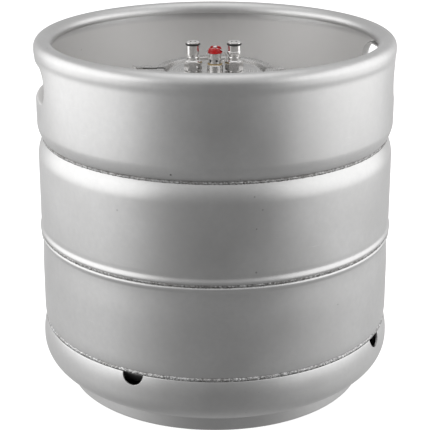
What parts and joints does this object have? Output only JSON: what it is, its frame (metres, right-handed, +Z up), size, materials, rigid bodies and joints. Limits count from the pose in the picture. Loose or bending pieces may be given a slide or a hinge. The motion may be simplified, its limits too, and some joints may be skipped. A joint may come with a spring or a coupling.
{
  "type": "beer keg",
  "caption": "Stainless steel keg with rolled-rim chimes, handle holes, a welded middle seam and a clamped lid carrying quick-coupling posts and a relief valve.",
  "frame": {"origin": "on the floor at the centre of the keg's base", "axes": "+Z up along the keg's centre line and the posts; the front, which faces the viewer, is -Y; the two posts lie on the X line with the gas post at -X"},
  "size_m": [0.395, 0.395, 0.393],
  "materials": {
    "satin_steel": "bead-blasted satin",
    "weld_steel": "rough weld bead, rippled",
    "polished_steel": "polished",
    "cast_clamp_steel": "cast and tumbled, bright",
    "spring_steel": "drawn wire",
    "black_rubber": "moulded, smooth",
    "pale_silicone": "moulded silicone",
    "tan_seal": "translucent tan",
    "red_plastic": "moulded, glossy"
  },
  "bodies": {
    "keg": {"upper_shell": "satin_steel", "lower_shell": "satin_steel", "girth_weld": "weld_steel", "top_chime": "satin_steel", "top_chime_weld": "weld_steel", "bottom_chime": "satin_steel", "bottom_chime_weld": "weld_steel", "neck_ferrule": "polished_steel", "neck_weld": "weld_steel", "lid_gasket": "pale_silicone", "lid": "polished_steel", "gas_post_stub": "polished_steel", "liquid_post_stub": "polished_steel", "gas_post": "polished_steel", "liquid_post": "polished_steel", "gas_post_oring": "black_rubber", "liquid_post_oring": "black_rubber", "gas_poppet_spring": "spring_steel", "liquid_poppet_spring": "spring_steel", "gas_dip_tube": "polished_steel", "liquid_dip_tube": "polished_steel", "gas_dip_tube_oring": "black_rubber", "liquid_dip_tube_oring": "black_rubber", "relief_valve_boss": "polished_steel", "relief_valve_seal_ring": "tan_seal", "relief_valve_body": "polished_steel", "relief_valve_cap": "red_plastic", "relief_valve_spring": "spring_steel", "clamp_front_half": "cast_clamp_steel", "clamp_rear_half": "cast_clamp_steel", "clamp_hinge_pin": "cast_clamp_steel", "clamp_bolt_pin": "cast_clamp_steel"},
    "gas_poppet": {"gas_poppet": "polished_steel", "gas_poppet_seal": "black_rubber"},
    "liquid_poppet": {"liquid_poppet": "polished_steel", "liquid_poppet_seal": "black_rubber"},
    "relief_valve_stem": {"relief_valve_stem": "polished_steel", "relief_valve_seal": "black_rubber"},
    "relief_valve_pull_ring": {"relief_valve_pull_ring": "polished_steel"},
    "clamp_swing_bolt": {"clamp_swing_bolt": "cast_clamp_steel"},
    "clamp_washer": {"clamp_washer": "cast_clamp_steel"},
    "clamp_wing_nut": {"clamp_wing_nut": "cast_clamp_steel"}
  },
  "joints": [
    {"name": "gas_poppet_press", "type": "slide", "parent": "keg", "child": "gas_poppet", "axis": [0, 0, -1], "range_m": [0, 0.003], "stiffness_N_per_m": 600, "springref_m": -0.004, "deforming": ["gas_poppet_spring"]},
    {"name": "liquid_poppet_press", "type": "slide", "parent": "keg", "child": "liquid_poppet", "axis": [0, 0, -1], "range_m": [0, 0.003], "stiffness_N_per_m": 600, "springref_m": -0.004, "deforming": ["liquid_poppet_spring"]},
    {"name": "relief_valve_lift", "type": "slide", "parent": "keg", "child": "relief_valve_stem", "axis": [0, 0, 1], "range_m": [0, 0.002], "stiffness_N_per_m": 3000, "springref_m": -0.004, "deforming": ["relief_valve_spring"]},
    {"name": "pull_ring_swing", "type": "hinge", "parent": "relief_valve_stem", "child": "relief_valve_pull_ring", "pos_m": [0, 0, 0.3755], "axis": [0.9703, -0.2419, 0], "range_deg": [0, 288]},
    {"name": "swing_bolt_swing", "type": "hinge", "parent": "keg", "child": "clamp_swing_bolt", "pos_m": [-0.08, -0.01, 0.34375], "axis": [0, 0, 1], "range_deg": [0, 100]},
    {"name": "wing_nut_travel", "type": "slide", "parent": "clamp_swing_bolt", "child": "clamp_washer", "axis": [0, 1, 0], "range_m": [0, 0.00451]},
    {"name": "wing_nut_turn", "type": "hinge", "parent": "clamp_washer", "child": "clamp_wing_nut", "pos_m": [-0.08, 0.0212, 0.34375], "axis": [0, 1, 0], "range_deg": [0, 1080]}
  ],
  "couplings": [
    {"joint": "wing_nut_travel", "follows": "wing_nut_turn", "m_per_rad": 0.00023873}
  ]
}
